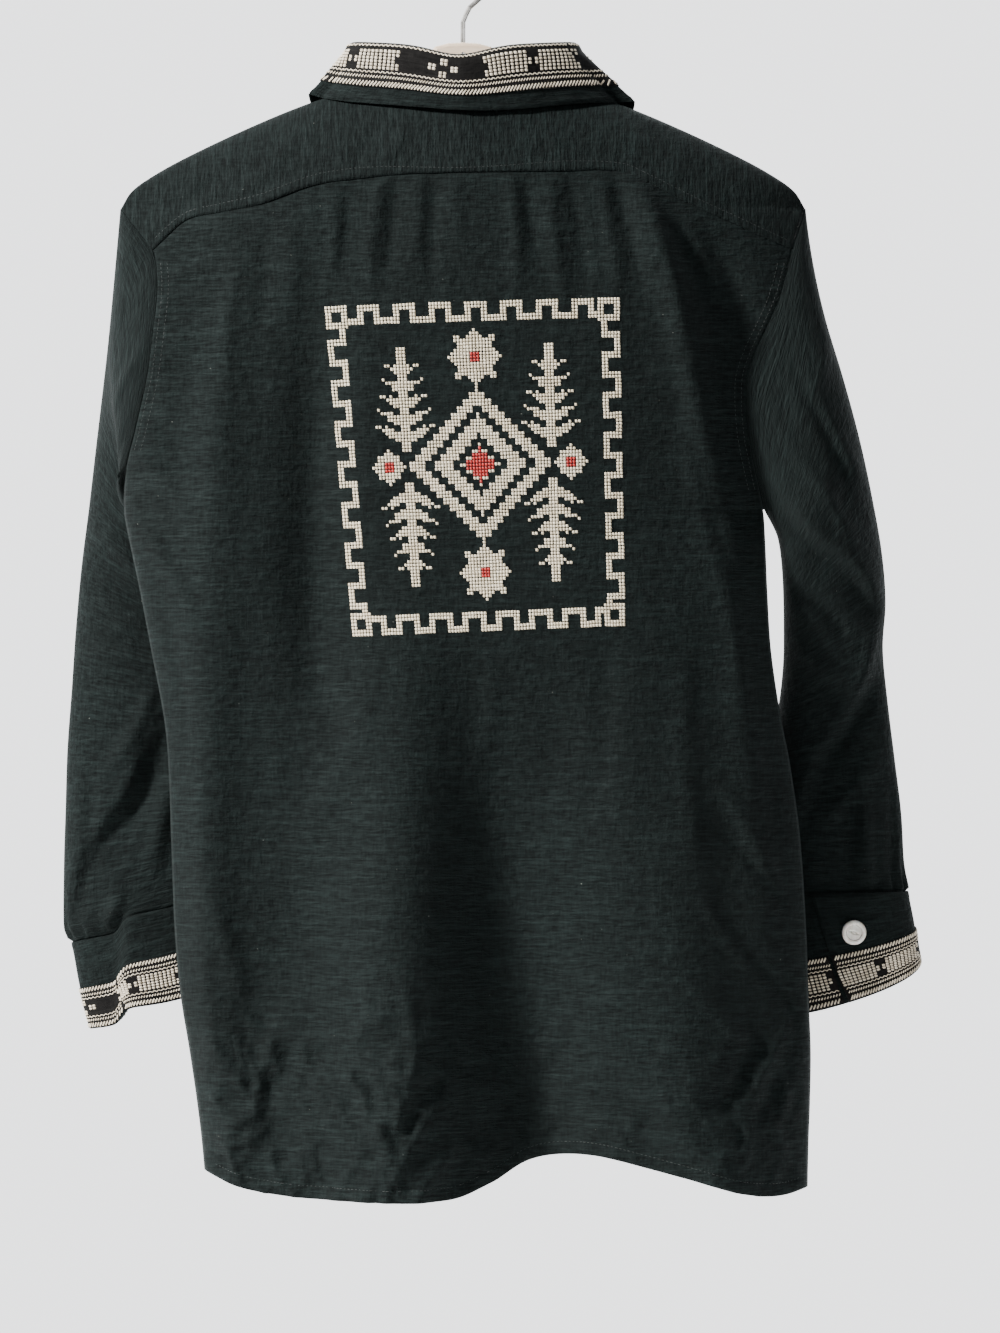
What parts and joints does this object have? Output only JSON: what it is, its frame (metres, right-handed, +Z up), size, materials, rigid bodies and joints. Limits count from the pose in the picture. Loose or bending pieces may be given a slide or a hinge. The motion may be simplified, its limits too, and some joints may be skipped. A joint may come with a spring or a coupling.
{
  "type": "embroidered button-down shirt on a hanger",
  "caption": "Long-sleeved shirt of dark slub cloth hung on a wooden hanger, with back yoke, turned-down collar, woven bands at collar and cuffs and an embroidered panel on the back",
  "frame": {"origin": "underside of the hook's crown, where a rod carries the hanger", "axes": "+Z up, +Y from the shirt's back to its front, +X to the right of a viewer who looks at the back"},
  "size_m": [0.5895, 0.1569, 0.8497],
  "materials": {
    "cloth": "dark green-black slub cotton and linen, matt",
    "woven_trim": "cream thread on a black ground, woven band",
    "button": "pearly cream",
    "hanger_wood": "clear varnish",
    "steel": "plated wire"
  },
  "bodies": {
    "root": {"back": "cloth", "yoke": "cloth", "front_left": "cloth", "front_right": "cloth", "front_band": "cloth", "sleeve_left": "cloth", "sleeve_right": "cloth", "cuff_left": "cloth", "cuff_right": "cloth", "collar_stand": "cloth", "collar": "cloth", "collar_trim": "woven_trim", "cuff_trim_left": "woven_trim", "cuff_trim_right": "woven_trim", "front_button_1": "button", "front_button_2": "button", "front_button_3": "button", "front_button_4": "button", "front_button_5": "button", "front_button_6": "button", "cuff_button_left": "button", "cuff_button_right": "button", "hanger": "hanger_wood", "hook": "steel", "hook_pin": "steel"}
  },
  "joints": []
}
